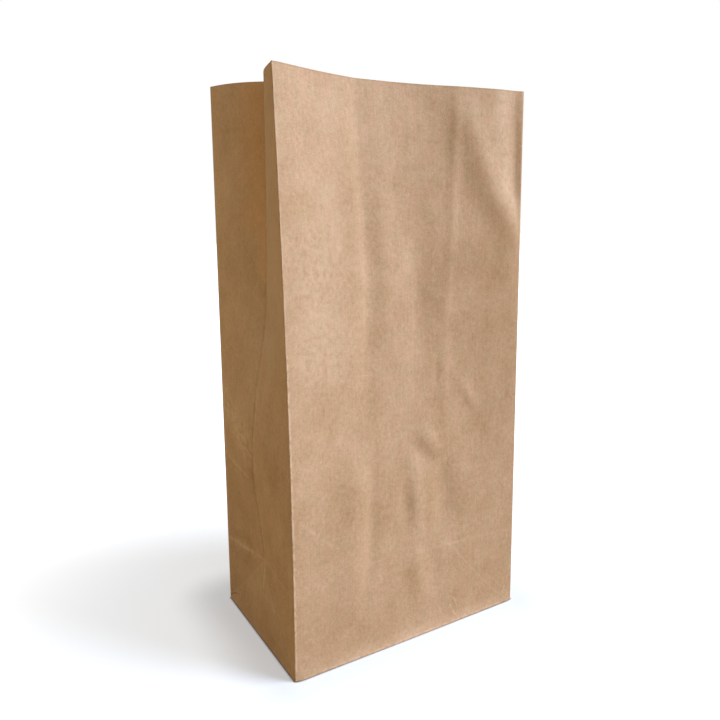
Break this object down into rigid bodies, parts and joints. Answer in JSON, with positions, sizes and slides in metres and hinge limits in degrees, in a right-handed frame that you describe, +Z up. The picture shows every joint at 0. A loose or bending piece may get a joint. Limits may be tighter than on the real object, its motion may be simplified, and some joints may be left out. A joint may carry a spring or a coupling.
{
  "type": "paper lunch bag",
  "caption": "Open brown kraft paper lunch bag standing upright, flat bottomed, with side gussets tucked in towards its open top.",
  "frame": {"origin": "middle of the rectangular base, on the surface that the bag stands on", "axes": "+Z up towards the open top, X across the width, -Y the plain front panel and +Y the back panel with the glued seam"},
  "size_m": [0.1342, 0.0803, 0.261],
  "materials": {
    "kraft_paper": "unbleached brown kraft, matt, with fine fibre mottling"
  },
  "bodies": {
    "root": {"paper_bag": "kraft_paper"}
  },
  "joints": []
}
